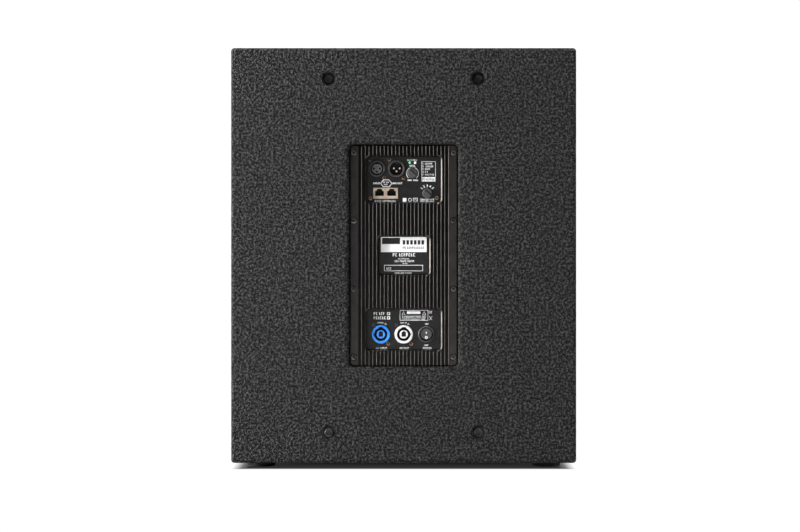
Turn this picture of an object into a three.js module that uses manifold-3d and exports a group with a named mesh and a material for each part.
// Powered subwoofer: a plywood cabinet with a slot port, one 15 inch woofer behind a steel grille,
// and a finned amplifier plate in the back.
//
// Units are millimetres and +Z is up. The origin is on the ground, under the middle of the cabinet.
// The grille faces -Y and the amplifier plate faces +Y. Left and right are as seen from the front,
// so +X is right. Places on the back are given as (u, v) from the cabinet's centre as a person
// standing behind it sees them: u to their right, which is -X, and v up.

import * as THREE from 'three';
import { RoundedBoxGeometry } from 'three/addons/geometries/RoundedBoxGeometry.js';
import { mergeVertices } from 'three/addons/utils/BufferGeometryUtils.js';
import Module from 'manifold-3d';

const wasm = await Module();
wasm.setup();

// ---------------------------------------------------------------- driving dimensions

// Cabinet
const WIDTH = 450;
const DEPTH = 570;
const BODY_HEIGHT = 541;
const FOOT_HEIGHT = 7;
const WALL = 18;
const EDGE_RADIUS = 6;
const BAFFLE_RECESS = 34;
const SHELF_THICKNESS = 15;
const PORT_HEIGHT = 56;
const PORT_LENGTH = 311;
const BRACE_Y = 100;
const BRACE_THICKNESS = 15;
const BRACE_MARGIN = 52;

// Fit between pieces of one body that aren't flat against each other
const GAP = 0.3;

// Grille
const GRILLE_SETBACK = 4;
const GRILLE_SHEET = 1.5;

// Feet
const FOOT_RADIUS = 19;
const FOOT_INSET_X = 37;
const FOOT_INSET_Y = 45;

// Side handles, recessed so that nothing stands out of the sides
const HANDLE_LENGTH = 206;
const HANDLE_HEIGHT = 112;
const HANDLE_RIM = 9;
const HANDLE_FLANGE = 3;
const HANDLE_DEPTH = 58;
const HANDLE_WALL = 3;
const HANDLE_BAR_RADIUS = 11;
const HANDLE_Y = -40;
const HANDLE_Z = 330;

// Pole socket in the top
const POLE_BORE_RADIUS = 17.75;
const POLE_TUBE_RADIUS = 21;
const POLE_FLANGE_RADIUS = 50;
const POLE_FLANGE = 3;
const POLE_DEPTH = 82;

// M10 countersunk screws in the back, for a wheel board
const RIGGING_U = 97.5;
const RIGGING_V = 230.5;
const RIGGING_HEAD_RADIUS = 9;
const RIGGING_SHANK_RADIUS = 5;
const RIGGING_LENGTH = 28;
const RIGGING_RIM = 0.6;
const RIGGING_SOCKET = 3;

// Woofer, with its own axis along Y. t is the distance behind the baffle's front face.
const WOOFER_RADIUS = 194;
const CUTOUT_RADIUS = 178.5;
const COIL_RADIUS = 50;
const BACK_PLATE = 12;
const MAGNET_RADIUS = 100;
const MAGNET_START = 122;
const MAGNET_LENGTH = 40;
const SPOKES = 8;

// Amplifier plate
const PLATE_WIDTH = 138.6;
const PLATE_HEIGHT = 286.2;
const PLATE_GAP = 1.7;
const PLATE_RECESS = 4.5;
const PLATE_EDGE = 4.2;
const PLATE_CORNER = 7;
const FLANGE_WIDTH = 11.3;
const FLANGE_THICKNESS = 4;
const FIN_COUNT = 23;
const FIN_PITCH = 4.94;
const FIN_GROOVE = 3.5;
const FIRST_GROOVE_X = -57.8;
const FIN_HEIGHT = 4;
const PLATE_THICKNESS = 8;
const PANEL_THICKNESS = 4;
const GASKET_THICKNESS = 1.5;
const PLATE_SCREW_U = 65;
const PLATE_SCREWS_V = [134, 44, -44, -134];
const PLATE_SCREW_RADIUS = 2.2;

// Milled pockets in the plate: centre height, and width and height at the bottom
const POCKET_CORNER = 3.5;
const POCKET_LEAN = 2.4;
const INPUT_POCKET = { v: 99.2, width: 95.2, height: 58.9 };
const NAME_POCKET = { v: 0, width: 64.8, height: 49 };
const AC_POCKET = { v: -96.7, width: 95.2, height: 52 };

// Controls and sockets on the plate, from its centre
const INPUT_SOCKET = { u: -34.8, v: 113.5 };
const LINK_SOCKET = { u: -9.4, v: 113.5 };
const NETWORK_JACK = { u: -23.7, v: 81.4 };
const VOLUME = { u: 11.5, v: 107.4 };
const PRESET = { u: 30.8, v: 81.4 };
const POWER_LED = { u: 8.1, v: 121.5 };
const LIMIT_LED = { u: 15, v: 121.5 };
const AC_INLET = { u: -29.8, v: -103.1 };
const AC_OUTLET = { u: 0.1, v: -103.1 };
const ROCKER = { u: 29.5, v: -102.9 };

const KNOB_RADIUS = 6.5;
const KNOB_HEIGHT = 6.5;
const KNOB_BAR = 1.3;
const SHAFT_RADIUS = 3;
const VOLUME_POINTS_AT = -45;
const PRESET_POINTS_AT = -52;
const ROCKER_TILT = 9;

// Facets of round shapes
const LARGE_FACETS = 24;
const MEDIUM_FACETS = 16;
const SMALL_FACETS = 12;

// ---------------------------------------------------------------- levels worked out from them

const BACK = DEPTH / 2;
const FRONT = -DEPTH / 2;
const TOP = FOOT_HEIGHT + BODY_HEIGHT;
const CENTRE_Z = FOOT_HEIGHT + BODY_HEIGHT / 2;
const INNER_X = WIDTH / 2 - WALL;
const INNER_BOTTOM = FOOT_HEIGHT + WALL;
const INNER_TOP = TOP - WALL;
const BAFFLE_FRONT = FRONT + BAFFLE_RECESS;
const SHELF_BOTTOM = INNER_BOTTOM + PORT_HEIGHT;
const SHELF_TOP = SHELF_BOTTOM + SHELF_THICKNESS;
const WOOFER_Z = (SHELF_TOP + INNER_TOP) / 2;

const PLATE_FACE = BACK - PLATE_RECESS;
const PLATE_FLOOR = PLATE_FACE - PLATE_THICKNESS;
const PLATE_BACK = PLATE_FLOOR - PANEL_THICKNESS;
const FLANGE_BACK = PLATE_FACE - FLANGE_THICKNESS;
const LEDGE_Y = FLANGE_BACK - GASKET_THICKNESS;
const PLATE_BODY_WIDTH = PLATE_WIDTH - 2 * FLANGE_WIDTH + 4;
const COVER_BACK = 180;
const SIGNAL_BOARD_Y = 240;
const POWER_BOARD_Y = 228;
const BOARD_THICKNESS = 1.6;

// ---------------------------------------------------------------- finishes

const FINISHES = {
  texturedPaint: { color: 0x2b2a2a, roughness: 0.6, metalness: 0 },
  bareWood: { color: 0xa98658, roughness: 0.8, metalness: 0 },
  blackSteel: { color: 0x1b1b1c, roughness: 0.5, metalness: 0.3 },
  castFrame: { color: 0x202022, roughness: 0.55, metalness: 0.4 },
  rubber: { color: 0x141414, roughness: 0.85, metalness: 0 },
  paperCone: { color: 0x1c1b1a, roughness: 0.9, metalness: 0 },
  treatedCloth: { color: 0xb08a4a, roughness: 0.9, metalness: 0 },
  ferrite: { color: 0x2e2d2f, roughness: 0.7, metalness: 0.1 },
  zincSteel: { color: 0x9a9a98, roughness: 0.4, metalness: 0.9 },
  copper: { color: 0xb4693c, roughness: 0.4, metalness: 0.9 },
  anodised: { color: 0x282727, roughness: 0.45, metalness: 0.6 },
  circuitBoard: { color: 0x1d5a34, roughness: 0.6, metalness: 0 },
  blackPlastic: { color: 0x1a1a1b, roughness: 0.5, metalness: 0 },
  greyPlastic: { color: 0x4a4a4c, roughness: 0.5, metalness: 0 },
  bluePlastic: { color: 0x2f7fe6, roughness: 0.4, metalness: 0 },
  whitePlastic: { color: 0xe9e7e2, roughness: 0.4, metalness: 0 },
  tinShield: { color: 0xb9a58c, roughness: 0.4, metalness: 0.8 },
  greenLens: { color: 0x4be08a, roughness: 0.2, metalness: 0 },
  clearLens: { color: 0xf2f2ee, roughness: 0.2, metalness: 0 },
  labelPlate: { color: 0x1c1c1c, roughness: 0.4, metalness: 0.3 },
};

// ---------------------------------------------------------------- solids from three.js geometry

// A closed geometry as a manifold-3d solid, with its faces pointing out
function solid(geometry) {
  const bare = geometry.clone();
  bare.deleteAttribute('normal');
  bare.deleteAttribute('uv');
  const merged = mergeVertices(bare, 1e-4);
  const index = merged.index.array;
  const position = merged.attributes.position;
  const triangles = [];
  let volume = 0;
  const a = new THREE.Vector3();
  const b = new THREE.Vector3();
  const c = new THREE.Vector3();
  for (let i = 0; i < index.length; i += 3) {
    const [p, q, r] = [index[i], index[i + 1], index[i + 2]];
    if (p !== q && q !== r && r !== p) {
      triangles.push(p, q, r);
      a.fromBufferAttribute(position, p);
      b.fromBufferAttribute(position, q);
      c.fromBufferAttribute(position, r);
      volume += a.dot(b.cross(c));
    }
  }
  if (volume < 0) {
    triangles.reverse();
  }
  return new wasm.Manifold(new wasm.Mesh({
    numProp: 3,
    vertProperties: new Float32Array(position.array),
    triVerts: new Uint32Array(triangles),
  }));
}

// A manifold-3d solid as a geometry
function toGeometry(piece) {
  const { vertProperties, triVerts } = piece.getMesh();
  const geometry = new THREE.BufferGeometry();
  geometry.setAttribute('position', new THREE.BufferAttribute(vertProperties, 3));
  geometry.setIndex(new THREE.BufferAttribute(triVerts, 1));
  return geometry;
}

function box(x0, x1, y0, y1, z0, z1) {
  const geometry = new THREE.BoxGeometry(x1 - x0, y1 - y0, z1 - z0);
  return solid(geometry.translate((x0 + x1) / 2, (y0 + y1) / 2, (z0 + z1) / 2));
}

function cylinderX(radius, x0, x1, y, z, segments = SMALL_FACETS) {
  const geometry = new THREE.CylinderGeometry(radius, radius, x1 - x0, segments);
  return solid(geometry.rotateZ(Math.PI / 2).translate((x0 + x1) / 2, y, z));
}

function cylinderY(radius, y0, y1, x, z, segments = MEDIUM_FACETS) {
  const geometry = new THREE.CylinderGeometry(radius, radius, y1 - y0, segments);
  return solid(geometry.translate(x, (y0 + y1) / 2, z));
}

function cylinderZ(radius, z0, z1, x, y, segments = LARGE_FACETS) {
  const geometry = new THREE.CylinderGeometry(radius, radius, z1 - z0, segments);
  return solid(geometry.rotateX(Math.PI / 2).translate(x, y, (z0 + z1) / 2));
}

// Profiles are [radius, height] points. One that doesn't start on the axis closes on itself.
function lathe(profile, segments) {
  const closed = profile[0][0] > 0 ? [...profile, profile[0]] : profile;
  return new THREE.LatheGeometry(closed.map((point) => new THREE.Vector2(...point)), segments);
}

function turnedY(profile, x, z, segments = LARGE_FACETS) {
  return solid(lathe(profile, segments).translate(x, 0, z));
}

function turnedZ(profile, x, y, segments = LARGE_FACETS) {
  return solid(lathe(profile, segments).rotateX(Math.PI / 2).translate(x, y, 0));
}

function roundedRectangle(width, height, radius) {
  const [w, h] = [width / 2, height / 2];
  const shape = new THREE.Shape();
  shape.moveTo(-w + radius, -h);
  shape.lineTo(w - radius, -h);
  shape.absarc(w - radius, -h + radius, radius, -Math.PI / 2, 0);
  shape.lineTo(w, h - radius);
  shape.absarc(w - radius, h - radius, radius, 0, Math.PI / 2);
  shape.lineTo(-w + radius, h);
  shape.absarc(-w + radius, h - radius, radius, Math.PI / 2, Math.PI);
  shape.lineTo(-w, -h + radius);
  shape.absarc(-w + radius, -h + radius, radius, Math.PI, 1.5 * Math.PI);
  return shape;
}

// A shape drawn in the X-Z plane, extruded from y0 to y1
function prismY(shape, y0, y1, x = 0, z = 0, extra = {}) {
  const settings = { depth: y1 - y0, bevelEnabled: false, curveSegments: 3, ...extra };
  const geometry = new THREE.ExtrudeGeometry(shape, settings);
  return solid(geometry.rotateX(Math.PI / 2).translate(x, y1, z));
}

// A shape drawn in the Y-Z plane, extruded from x0 to x1
function prismX(shape, x0, x1, y = 0, z = 0) {
  const settings = { depth: x1 - x0, bevelEnabled: false, curveSegments: 3 };
  const geometry = new THREE.ExtrudeGeometry(shape, settings);
  return solid(geometry.rotateY(Math.PI / 2).rotateX(Math.PI / 2).translate(x0, y, z));
}

function union(...solids) {
  return solids.reduce((whole, piece) => whole.add(piece));
}

function cut(body, ...tools) {
  return tools.reduce((left, tool) => left.subtract(tool), body);
}

// ---------------------------------------------------------------- the assembly

const subwoofer = new THREE.Group();
subwoofer.name = 'powered_subwoofer';

function part(name, piece, finish) {
  const mesh = new THREE.Mesh(toGeometry(piece), new THREE.MeshStandardMaterial(FINISHES[finish]));
  mesh.material.flatShading = true;
  mesh.name = name;
  subwoofer.add(mesh);
}

// A place on the back as X and Z
function onBack({ u, v }) {
  return [-u, CENTRE_Z + v];
}

// ---------------------------------------------------------------- cabinet panels

function mirrored(x0, x1, side) {
  return side > 0 ? [x0, x1] : [-x1, -x0];
}

function handleOutline(rim) {
  return roundedRectangle(HANDLE_LENGTH - 2 * rim, HANDLE_HEIGHT - 2 * rim, 22 - rim);
}

// The space that a handle takes out of its side panel
function handleSpace(side) {
  const outer = WIDTH / 2;
  const rebate = mirrored(outer - HANDLE_FLANGE, outer + 5, side);
  const opening = mirrored(INNER_X - 5, outer + 5, side);
  return union(
    prismX(handleOutline(-GAP), ...rebate, HANDLE_Y, HANDLE_Z),
    prismX(handleOutline(HANDLE_RIM - GAP), ...opening, HANDLE_Y, HANDLE_Z),
  );
}

// The screw's countersunk head and shank. Its hole is larger by a gap, and has a deeper rim.
function riggingScrew(place, gap, rim) {
  const [x, z] = onBack(place);
  const head = RIGGING_HEAD_RADIUS + gap;
  const shank = RIGGING_SHANK_RADIUS + gap;
  return turnedY([
    [0, BACK - RIGGING_LENGTH - gap],
    [shank, BACK - RIGGING_LENGTH - gap],
    [shank, BACK - 1 - (head - shank)],
    [head, BACK - 1],
    [head, BACK - 1 + rim],
    [0, BACK - 1 + rim],
  ], x, z, SMALL_FACETS);
}

const riggingPlaces = {
  rigging_screw_upper_left: { u: RIGGING_U, v: RIGGING_V },
  rigging_screw_upper_right: { u: -RIGGING_U, v: RIGGING_V },
  rigging_screw_lower_left: { u: RIGGING_U, v: -RIGGING_V },
  rigging_screw_lower_right: { u: -RIGGING_U, v: -RIGGING_V },
};

function addCabinet() {
  const outside = solid(new RoundedBoxGeometry(WIDTH, DEPTH, BODY_HEIGHT, 2, EDGE_RADIUS)
    .translate(0, 0, CENTRE_Z));
  const [far, x] = [DEPTH, WIDTH / 2];
  const slab = (x0, x1, z0, z1) => outside.intersect(box(x0, x1, -far, far, z0, z1));

  const poleHole = union(
    cylinderZ(POLE_FLANGE_RADIUS + GAP, TOP - POLE_FLANGE, TOP + 5, 0, 0),
    cylinderZ(POLE_TUBE_RADIUS + GAP, INNER_TOP - 5, TOP + 5, 0, 0),
  );
  part('top_panel', slab(-x, x, INNER_TOP, TOP).subtract(poleHole), 'texturedPaint');
  part('bottom_panel', slab(-x, x, FOOT_HEIGHT, INNER_BOTTOM), 'texturedPaint');
  part('left_side_panel', slab(-x, -INNER_X, INNER_BOTTOM, INNER_TOP).subtract(handleSpace(-1)),
    'texturedPaint');
  part('right_side_panel', slab(INNER_X, x, INNER_BOTTOM, INNER_TOP).subtract(handleSpace(1)),
    'texturedPaint');

  // The plate's flanges rest on a ledge down each side of its opening
  const openingWidth = PLATE_WIDTH + 2 * PLATE_GAP;
  const openingHeight = PLATE_HEIGHT + 2 * PLATE_GAP;
  const opening = roundedRectangle(openingWidth, openingHeight, PLATE_CORNER);
  const flare = {
    bevelEnabled: true, bevelSegments: 1, bevelThickness: PLATE_EDGE, bevelSize: PLATE_EDGE,
  };
  part('rear_panel', cut(
    box(-INNER_X, INNER_X, BACK - WALL, BACK, INNER_BOTTOM, INNER_TOP),
    prismY(opening, LEDGE_Y, BACK + 5, 0, CENTRE_Z),
    prismY(opening, BACK, BACK + 10, 0, CENTRE_Z, flare),
    prismY(roundedRectangle(PLATE_BODY_WIDTH + 3, openingHeight, 2), BACK - WALL - 5, BACK, 0, CENTRE_Z),
    ...Object.values(riggingPlaces).map((place) => riggingScrew(place, GAP, 3)),
  ), 'texturedPaint');
  for (const [name, place] of Object.entries(riggingPlaces)) {
    const [px, pz] = onBack(place);
    const socket = new THREE.CylinderGeometry(RIGGING_SOCKET, RIGGING_SOCKET, 10, 6)
      .translate(px, BACK - 0.4, pz);
    part(name, riggingScrew(place, 0, RIGGING_RIM).subtract(solid(socket)), 'blackSteel');
  }

  const baffleBack = BAFFLE_FRONT + WALL;
  const cutout = cylinderY(CUTOUT_RADIUS, BAFFLE_FRONT - 5, baffleBack + 5, 0, WOOFER_Z, LARGE_FACETS);
  part('front_baffle', box(-INNER_X, INNER_X, BAFFLE_FRONT, baffleBack, SHELF_TOP, INNER_TOP)
    .subtract(cutout), 'texturedPaint');
  const shelfEnd = BAFFLE_FRONT + PORT_LENGTH;
  part('port_shelf', box(-INNER_X, INNER_X, BAFFLE_FRONT, shelfEnd, SHELF_BOTTOM, SHELF_TOP),
    'texturedPaint');
  const window = roundedRectangle(
    2 * (INNER_X - BRACE_MARGIN), INNER_TOP - INNER_BOTTOM - 2 * BRACE_MARGIN, 40,
  );
  const braceEnd = BRACE_Y + BRACE_THICKNESS;
  part('window_brace', box(-INNER_X, INNER_X, BRACE_Y, braceEnd, INNER_BOTTOM, INNER_TOP)
    .subtract(prismY(window, BRACE_Y - 5, braceEnd + 5, 0, CENTRE_Z)), 'bareWood');
}

function addFeet() {
  const places = {
    foot_front_left: [-1, -1],
    foot_front_right: [1, -1],
    foot_rear_left: [-1, 1],
    foot_rear_right: [1, 1],
  };
  for (const [name, [sideX, sideY]] of Object.entries(places)) {
    const x = sideX * (WIDTH / 2 - FOOT_INSET_X);
    const y = sideY * (DEPTH / 2 - FOOT_INSET_Y);
    part(name, turnedZ([
      [0, FOOT_HEIGHT],
      [FOOT_RADIUS, FOOT_HEIGHT],
      [FOOT_RADIUS, 2],
      [FOOT_RADIUS - 2, 0],
      [6, 0],
      [6, 3.5],
      [0, 3.5],
    ], x, y, MEDIUM_FACETS), 'rubber');
  }
}

function addHandle(name, side) {
  const outer = WIDTH / 2;
  const flange = mirrored(outer - HANDLE_FLANGE, outer, side);
  const cup = mirrored(outer - HANDLE_DEPTH, outer - 1, side);
  const hollow = mirrored(outer - HANDLE_DEPTH + HANDLE_WALL, outer + 5, side);
  const barHalf = HANDLE_LENGTH / 2 - HANDLE_RIM - 1;
  const barX = side * (outer - HANDLE_BAR_RADIUS - 0.5);
  const dish = union(
    prismX(handleOutline(0), ...flange, HANDLE_Y, HANDLE_Z),
    prismX(handleOutline(HANDLE_RIM), ...cup, HANDLE_Y, HANDLE_Z),
  ).subtract(prismX(handleOutline(HANDLE_RIM + HANDLE_WALL), ...hollow, HANDLE_Y, HANDLE_Z));
  const [barFront, barBack] = [HANDLE_Y - barHalf, HANDLE_Y + barHalf];
  const bar = cylinderY(HANDLE_BAR_RADIUS, barFront, barBack, barX, HANDLE_Z, SMALL_FACETS);
  part(name, dish.add(bar), 'blackPlastic');
}

function addPoleSocket() {
  part('pole_socket', turnedZ([
    [0, TOP - POLE_DEPTH],
    [POLE_TUBE_RADIUS, TOP - POLE_DEPTH],
    [POLE_TUBE_RADIUS, TOP - POLE_FLANGE],
    [POLE_FLANGE_RADIUS, TOP - POLE_FLANGE],
    [POLE_FLANGE_RADIUS, TOP],
    [POLE_BORE_RADIUS, TOP],
    [POLE_BORE_RADIUS, TOP - POLE_DEPTH + 3],
    [0, TOP - POLE_DEPTH + 3],
  ], 0, 0), 'blackPlastic');
}

// A folded sheet: a flat face whose four flanges stand on the baffle
function addGrille() {
  const [x, z0, z1] = [INNER_X - 0.8, INNER_BOTTOM + 0.8, INNER_TOP - 0.8];
  const face = FRONT + GRILLE_SETBACK;
  const s = GRILLE_SHEET;
  part('grille', box(-x, x, face, BAFFLE_FRONT, z0, z1)
    .subtract(box(-x + s, x - s, face + s, BAFFLE_FRONT + 5, z0 + s, z1 - s)), 'blackSteel');
}

// ---------------------------------------------------------------- woofer

// A profile of [radius, t] points turned about the woofer's axis
function turnedWoofer(profile) {
  return turnedY(profile.map(([radius, t]) => [radius, BAFFLE_FRONT + t]), 0, WOOFER_Z);
}

function arc(centreR, centreT, radius, from, to, steps) {
  return Array.from({ length: steps + 1 }, (_, i) => {
    const angle = from + (to - from) * i / steps;
    return [centreR + radius * Math.cos(angle), centreT - radius * Math.sin(angle)];
  });
}

// One opening between two spokes of the frame, as a wedge that narrows towards the magnet
function frameWindow(index) {
  const wedge = new THREE.Shape([
    new THREE.Vector2(-46, 20),
    new THREE.Vector2(46, 20),
    new THREE.Vector2(30, 88),
    new THREE.Vector2(-30, 88),
  ]);
  const geometry = new THREE.ExtrudeGeometry(wedge, { depth: 120, bevelEnabled: false });
  const turn = (index + 0.5) * 2 * Math.PI / SPOKES;
  return solid(geometry.translate(0, 0, 80).rotateY(turn).translate(0, BAFFLE_FRONT, WOOFER_Z));
}

function addWoofer() {
  const ring = turnedWoofer([
    [WOOFER_RADIUS, 0],
    [WOOFER_RADIUS, -6.5],
    [183, -6.5],
    [183, -3],
    [171, -3],
    [171, 4],
    [101, 106],
    [62, 106],
    [62, 112],
    [104, 112],
    [106, 108],
    [176.5, 4],
    [176.5, 0],
  ]);
  const spiderLedge = turnedWoofer([[90, 92], [111, 92], [109, 95], [90, 95]]);
  const windows = Array.from({ length: SPOKES }, (_, index) => frameWindow(index));
  part('woofer_frame', cut(ring, ...windows).add(spiderLedge), 'castFrame');

  part('surround', turnedWoofer([
    [182.5, -3.3],
    [182.5, -4.8],
    ...arc(160.5, -3.5, 11.2, 0.1, Math.PI - 0.1, 5),
    [145.5, -4.5],
    [145.5, -3],
    ...arc(160.5, -3.5, 10, Math.PI, 0, 5),
  ]), 'rubber');
  part('cone', turnedWoofer([
    [150, -2.7],
    [150, -0.7],
    [145, -0.7],
    [51.2, 79],
    [51.2, 76],
    [144, -2.7],
  ]), 'paperCone');
  part('dust_cap', turnedWoofer([
    [0, 42.5],
    ...arc(0, 161.4, 118.9, Math.PI / 2 - 0.2, Math.PI / 2 - 0.583, 2),
    [63.5, 63],
    ...arc(0, 161.4, 117.2, Math.PI / 2 - 0.45, Math.PI / 2 - 0.2, 1),
    [0, 44.2],
  ]), 'paperCone');
  part('voice_coil', turnedWoofer([
    [COIL_RADIUS - 0.8, 77],
    [COIL_RADIUS + 0.6, 77],
    [COIL_RADIUS + 0.6, 140],
    [COIL_RADIUS - 0.8, 140],
  ]), 'copper');
  part('spider', turnedWoofer([
    [51.2, 90.2],
    [108, 90.2],
    [108, 91.7],
    [51.2, 91.7],
  ]), 'treatedCloth');

  const magnetEnd = MAGNET_START + MAGNET_LENGTH;
  part('front_plate', turnedWoofer([
    [COIL_RADIUS + 1.5, 112],
    [90, 112],
    [90, MAGNET_START],
    [COIL_RADIUS + 1.5, MAGNET_START],
  ]), 'zincSteel');
  part('magnet', turnedWoofer([
    [60, MAGNET_START],
    [MAGNET_RADIUS, MAGNET_START],
    [MAGNET_RADIUS, magnetEnd],
    [60, magnetEnd],
  ]), 'ferrite');
  part('pole_yoke', turnedWoofer([
    [18, 110],
    [COIL_RADIUS - 1.5, 110],
    [COIL_RADIUS - 1.5, magnetEnd],
    [90, magnetEnd],
    [90, magnetEnd + BACK_PLATE],
    [18, magnetEnd + BACK_PLATE],
  ]), 'zincSteel');
}

// ---------------------------------------------------------------- amplifier plate

// The extrusion's section: fins and two flanges on a solid base, in X and Y
function plateSection() {
  const [edge, body] = [PLATE_WIDTH / 2, PLATE_BODY_WIDTH / 2];
  const root = PLATE_FACE - FIN_HEIGHT;
  const points = [[-body, PLATE_FLOOR], [-body, FLANGE_BACK], [-edge, FLANGE_BACK], [-edge, PLATE_FACE]];
  for (let groove = 0; groove <= FIN_COUNT; groove += 1) {
    const left = FIRST_GROOVE_X + groove * FIN_PITCH;
    const right = left + FIN_GROOVE;
    points.push([left, PLATE_FACE], [left, root], [right, root], [right, PLATE_FACE]);
  }
  points.push([edge, PLATE_FACE], [edge, FLANGE_BACK], [body, FLANGE_BACK], [body, PLATE_FLOOR]);
  return new THREE.Shape(points.map(([x, y]) => new THREE.Vector2(x, y)));
}

// A window through the finned plate, onto the panel behind it. Its walls lean outwards.
function pocket({ v, width, height }) {
  const outline = roundedRectangle(width, height, POCKET_CORNER);
  const lean = {
    bevelEnabled: true, bevelSegments: 1, bevelThickness: PLATE_THICKNESS - 1, bevelSize: POCKET_LEAN,
  };
  return union(
    prismY(outline, PLATE_FLOOR - 5, PLATE_FLOOR + 2, 0, CENTRE_Z + v),
    prismY(outline, PLATE_FACE, PLATE_FACE + 5, 0, CENTRE_Z + v, lean),
  );
}

// A round hole through the panel at a place on the back
function panelHole(place, radius) {
  return cylinderY(radius, PLATE_BACK - 5, PLATE_FLOOR + 5, ...onBack(place));
}

function addPlate() {
  const geometry = new THREE.ExtrudeGeometry(plateSection(), { depth: PLATE_HEIGHT, bevelEnabled: false });
  const rounded = roundedRectangle(PLATE_WIDTH, PLATE_HEIGHT, PLATE_CORNER - PLATE_GAP);
  const extrusion = solid(geometry.translate(0, 0, CENTRE_Z - PLATE_HEIGHT / 2))
    .intersect(prismY(rounded, PLATE_FLOOR - 5, PLATE_FACE + 5, 0, CENTRE_Z));
  const screws = PLATE_SCREWS_V.flatMap((v) => [-PLATE_SCREW_U, PLATE_SCREW_U].map(
    (u) => cylinderY(PLATE_SCREW_RADIUS, PLATE_FLOOR, PLATE_FACE + 5, ...onBack({ u, v }), 8),
  ));
  part('amp_plate', cut(
    extrusion,
    pocket(INPUT_POCKET),
    pocket(NAME_POCKET),
    pocket(AC_POCKET),
    ...screws,
  ), 'anodised');

  const [jackX, jackZ] = onBack(NETWORK_JACK);
  const half = PLATE_HEIGHT / 2;
  const sheet = [-PLATE_BODY_WIDTH / 2, PLATE_BODY_WIDTH / 2, PLATE_BACK, PLATE_FLOOR];
  part('control_panel', cut(
    box(...sheet, CENTRE_Z - half, CENTRE_Z + half),
    panelHole(INPUT_SOCKET, 10.8),
    panelHole(LINK_SOCKET, 11.5),
    prismY(roundedRectangle(33, 14.8, 0.5), PLATE_BACK - 5, PLATE_FLOOR + 5, jackX, jackZ),
    panelHole(VOLUME, 3.8),
    panelHole(PRESET, 3.8),
    panelHole(POWER_LED, 2),
    panelHole(LIMIT_LED, 2),
    panelHole(AC_INLET, 12.3),
    panelHole(AC_OUTLET, 12.3),
    panelHole(ROCKER, 10.2),
  ), 'anodised');

  const gasketInner = PLATE_BODY_WIDTH / 2 + 2;
  for (const [name, side] of [['amp_gasket_left', -1], ['amp_gasket_right', 1]]) {
    const [x0, x1] = mirrored(gasketInner, PLATE_WIDTH / 2, side);
    const strip = box(x0, x1, LEDGE_Y, FLANGE_BACK, CENTRE_Z - half + 2, CENTRE_Z + half - 2);
    part(name, strip, 'rubber');
  }
  part('nameplate', prismY(
    roundedRectangle(NAME_POCKET.width - 0.6, NAME_POCKET.height - 0.6, POCKET_CORNER - 0.3),
    PLATE_FLOOR, PLATE_FLOOR + 0.8, 0, CENTRE_Z + NAME_POCKET.v,
  ), 'labelPlate');
}

// ---------------------------------------------------------------- sockets and controls

function addInputSocket() {
  const [x, z] = onBack(INPUT_SOCKET);
  const face = PLATE_FLOOR + 1.6;
  const shell = turnedY([
    [0, PLATE_FLOOR - 26],
    [10.5, PLATE_FLOOR - 26],
    [10.5, face - 0.6],
    [9.9, face],
    [9, face],
    [9, face - 14],
    [7.4, face - 14],
    [7.4, face - 0.8],
    [0, face - 0.8],
  ], x, z, MEDIUM_FACETS);
  const contacts = [[-4.1, 0.2], [3.7, 0.2], [-0.3, -3.8]]
    .map(([du, dv]) => cylinderY(1.3, face - 12, face + 2, x - du, z + dv, 8));
  part('input_socket', cut(shell, ...contacts), 'blackPlastic');
}

function addLinkSocket() {
  const [x, z] = onBack(LINK_SOCKET);
  const face = PLATE_FLOOR + 1.6;
  const floor = face - 12;
  const shell = turnedY([
    [0, PLATE_FLOOR - 26],
    [11.2, PLATE_FLOOR - 26],
    [11.2, face - 0.6],
    [10.6, face],
    [8.9, face],
    [8.9, floor],
    [0, floor],
  ], x, z, MEDIUM_FACETS);
  const pins = [[-3.5, 0.6], [4.3, 0.6], [0.1, -3.3]]
    .map(([du, dv]) => cylinderY(1.2, floor - 1, face - 1.5, x - du, z + dv, 10));
  part('link_socket', union(shell, ...pins), 'blackPlastic');
}

function addNetworkJack() {
  const [x, z] = onBack(NETWORK_JACK);
  const face = PLATE_FLOOR + 1;
  const openings = [-7.9, 7.9].flatMap((dx) => [
    box(x + dx - 5.8, x + dx + 5.8, face - 14, face + 5, z - 3.5, z + 3),
    box(x + dx - 3.2, x + dx + 3.2, face - 14, face + 5, z - 3.5, z + 5.6),
  ]);
  const shield = box(x - 16.2, x + 16.2, PLATE_FLOOR - 25, face, z - 7.1, z + 7.1);
  part('network_jack', cut(shield, ...openings), 'tinShield');
}

// A locking mains socket: a round shell, a ring-shaped well with a key slot at the top and a
// smaller one at the side, and a centre post with one deep slot
function addMainsSocket(name, place, keySide, finish) {
  const [x, z] = onBack(place);
  const face = PLATE_FLOOR + 2;
  const depth = 14;
  const shell = turnedY([
    [0, PLATE_FLOOR - 28],
    [12, PLATE_FLOOR - 28],
    [12, face - 0.8],
    [11.2, face],
    [8.3, face],
    [8.3, face - depth],
    [5.7, face - depth],
    [5.7, face - 0.6],
    [0, face - 0.6],
  ], x, z, MEDIUM_FACETS);
  const keyX = x + keySide * 8;
  part(name, cut(
    shell,
    box(x - 2.7, x + 2.7, face - depth, face + 5, z + 6.5, z + 10.2),
    box(keyX - 1.8, keyX + 1.8, face - depth, face + 5, z - 1.3, z + 1.3),
    box(x - 2.6, x + 2.6, face - 11, face + 5, z - 2.4, z + 3.4),
  ), finish);
}

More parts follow.
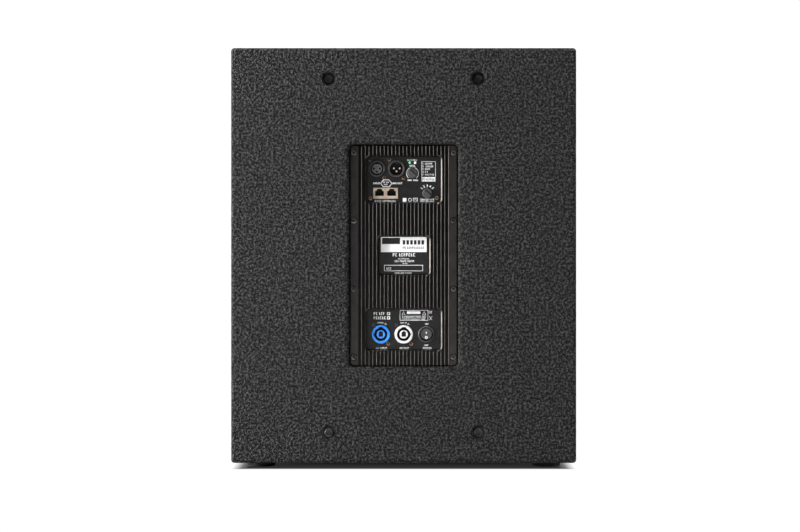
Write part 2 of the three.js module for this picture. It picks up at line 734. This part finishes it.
function addRocker() {
  const [x, z] = onBack(ROCKER);
  const face = PLATE_FLOOR + 2.3;
  const pivotY = PLATE_FLOOR + 0.5;
  const bezel = turnedY([
    [0, PLATE_FLOOR - 20],
    [9.9, PLATE_FLOOR - 20],
    [9.9, PLATE_FLOOR],
    [10.65, PLATE_FLOOR],
    [10.65, face - 0.8],
    [9.8, face],
    [8.5, face],
    [8.5, face - 12],
    [0, face - 12],
  ], x, z, MEDIUM_FACETS);
  const pinHalf = 9.3;
  part('rocker_bezel', bezel.subtract(cylinderX(1 + GAP, x - pinHalf - GAP, x + pinHalf + GAP, pivotY, z)),
    'blackPlastic');
  part('rocker_pin', cylinderX(1, x - pinHalf, x + pinHalf, pivotY, z, 12), 'zincSteel');

  // The paddle is drawn level about its pivot and then tipped into the "on" position
  const radius = 7.15;
  const crest = 3;
  const lift = radius * Math.tan(THREE.MathUtils.degToRad(ROCKER_TILT));
  const side = new THREE.Shape([
    new THREE.Vector2(-4, -radius - 1),
    new THREE.Vector2(crest + lift, -radius - 1),
    new THREE.Vector2(crest, 0),
    new THREE.Vector2(crest + lift, radius + 1),
    new THREE.Vector2(-4, radius + 1),
  ]);
  const level = prismX(side, -radius - 1, radius + 1)
    .intersect(cylinderY(radius, -10, 10, 0, 0))
    .subtract(cylinderX(1.25, -20, 20, 0, 0, 12));
  const tipped = toGeometry(level)
    .rotateX(THREE.MathUtils.degToRad(ROCKER_TILT))
    .translate(x, pivotY, z);
  part('rocker_paddle', solid(tipped), 'blackPlastic');
}

// A knob on its shaft, with a raised bar that points at an angle clockwise from the top
function addKnob(name, place, pointsAt) {
  const [x, z] = onBack(place);
  const [back, face] = [PLATE_FLOOR + 0.5, PLATE_FLOOR + 0.5 + KNOB_HEIGHT];
  const body = turnedY([
    [0, back],
    [KNOB_RADIUS, back],
    [KNOB_RADIUS, face - KNOB_BAR - 0.8],
    [KNOB_RADIUS - 0.8, face - KNOB_BAR],
    [0, face - KNOB_BAR],
  ], x, z, MEDIUM_FACETS);
  const bar = new THREE.BoxGeometry(1.9, 3, 2 * KNOB_RADIUS - 1.6)
    .rotateY(THREE.MathUtils.degToRad(-pointsAt))
    .translate(x, face - 1.5, z);
  const bore = cylinderY(SHAFT_RADIUS + GAP, back - 1, back + 3.5, x, z, SMALL_FACETS);
  part(`${name}_knob`, cut(body.add(solid(bar)), bore), 'greyPlastic');
  part(`${name}_shaft`, cylinderY(SHAFT_RADIUS, PLATE_BACK - 6, back + 3, x, z, SMALL_FACETS), 'zincSteel');
}

// The fixed part behind a knob: a body, and a bushing that fills the hole in the plate
function shaftHousing(place, body) {
  const [x, z] = onBack(place);
  return body
    .add(cylinderY(3.5, PLATE_BACK - 2, PLATE_FLOOR, x, z, SMALL_FACETS))
    .subtract(cylinderY(SHAFT_RADIUS + 0.15, PLATE_BACK - 7, PLATE_FLOOR + 1, x, z, SMALL_FACETS));
}

function addControls() {
  const rear = PLATE_BACK - GAP;
  const [volumeX, volumeZ] = onBack(VOLUME);
  const potBody = box(volumeX - 8, volumeX + 8, rear - 10, rear, volumeZ - 8, volumeZ + 8);
  part('volume_pot', shaftHousing(VOLUME, potBody), 'greyPlastic');
  addKnob('volume', VOLUME, VOLUME_POINTS_AT);

  const switchBody = cylinderY(8.5, rear - 14, rear, ...onBack(PRESET));
  part('preset_switch', shaftHousing(PRESET, switchBody), 'blackPlastic');
  addKnob('preset', PRESET, PRESET_POINTS_AT);

  for (const [name, place, lens] of [
    ['power_led', POWER_LED, 'greenLens'],
    ['limit_led', LIMIT_LED, 'clearLens'],
  ]) {
    part(name, turnedY([
      [0, PLATE_BACK - 4],
      [1.7, PLATE_BACK - 4],
      [1.7, PLATE_FLOOR + 0.4],
      [1.2, PLATE_FLOOR + 1],
      [0, PLATE_FLOOR + 1.3],
    ], ...onBack(place), 12), lens);
  }
}

// ---------------------------------------------------------------- behind the plate

// A circuit board that stands on four pillars behind the plate
function board(name, y, uHalf, vLow, vHigh) {
  const [z0, z1] = [CENTRE_Z + vLow, CENTRE_Z + vHigh];
  const pillars = [-1, 1].flatMap((side) => [z0 + 3.5, z1 - 3.5].map(
    (z) => cylinderY(2.5, y + 1, PLATE_BACK, side * (uHalf - 3.5), z, 8),
  ));
  part(name, union(box(-uHalf, uHalf, y, y + BOARD_THICKNESS, z0, z1), ...pillars), 'circuitBoard');
}

function addElectronics() {
  const [x, z] = [56, 139];
  const cableHole = cylinderY(4.5, COVER_BACK - 5, COVER_BACK + 5, -20, CENTRE_Z + 22, SMALL_FACETS);
  part('amp_cover', cut(
    box(-x, x, COVER_BACK, PLATE_BACK, CENTRE_Z - z, CENTRE_Z + z),
    box(-x + 2, x - 2, COVER_BACK + 2, PLATE_BACK + 5, CENTRE_Z - z + 2, CENTRE_Z + z - 2),
    cableHole,
  ), 'zincSteel');

  board('signal_board', SIGNAL_BOARD_Y, 50, 62, 134);
  board('amp_board', SIGNAL_BOARD_Y, 50, -10, 56);
  board('power_board', POWER_BOARD_Y, 50, -132, -16);
  part('transformer', box(-10, 32, 194, POWER_BOARD_Y, CENTRE_Z - 78, CENTRE_Z - 42), 'copper');
  part('capacitor_upper', cylinderY(14, 190, POWER_BOARD_Y, -30, CENTRE_Z - 40), 'greyPlastic');
  part('capacitor_lower', cylinderY(14, 190, POWER_BOARD_Y, -30, CENTRE_Z - 75), 'greyPlastic');

  // From the amplifier board, out through the cover and through the brace to the woofer's frame
  const route = new THREE.CatmullRomCurve3([
    new THREE.Vector3(-20, 239, CENTRE_Z + 22),
    new THREE.Vector3(-20, 208, CENTRE_Z + 22),
    new THREE.Vector3(-20, COVER_BACK, CENTRE_Z + 22),
    new THREE.Vector3(-27, 158, CENTRE_Z + 21),
    new THREE.Vector3(-70, 108, CENTRE_Z + 12),
    new THREE.Vector3(-126, 20, CENTRE_Z + 8),
    new THREE.Vector3(-140, -80, CENTRE_Z + 20),
    new THREE.Vector3(-133, -172, WOOFER_Z),
  ]);
  const section = new THREE.Shape().absarc(0, 0, 3, 0, 2 * Math.PI);
  part('speaker_cable', solid(new THREE.ExtrudeGeometry(section, {
    extrudePath: route, steps: 26, curveSegments: 4,
  })), 'rubber');
}

addCabinet();
addFeet();
addHandle('left_handle', -1);
addHandle('right_handle', 1);
addPoleSocket();
addGrille();
addWoofer();
addPlate();
addInputSocket();
addLinkSocket();
addNetworkJack();
addMainsSocket('ac_inlet', AC_INLET, 1, 'bluePlastic');
addMainsSocket('ac_outlet', AC_OUTLET, -1, 'whitePlastic');
addRocker();
addControls();
addElectronics();

export default subwoofer;
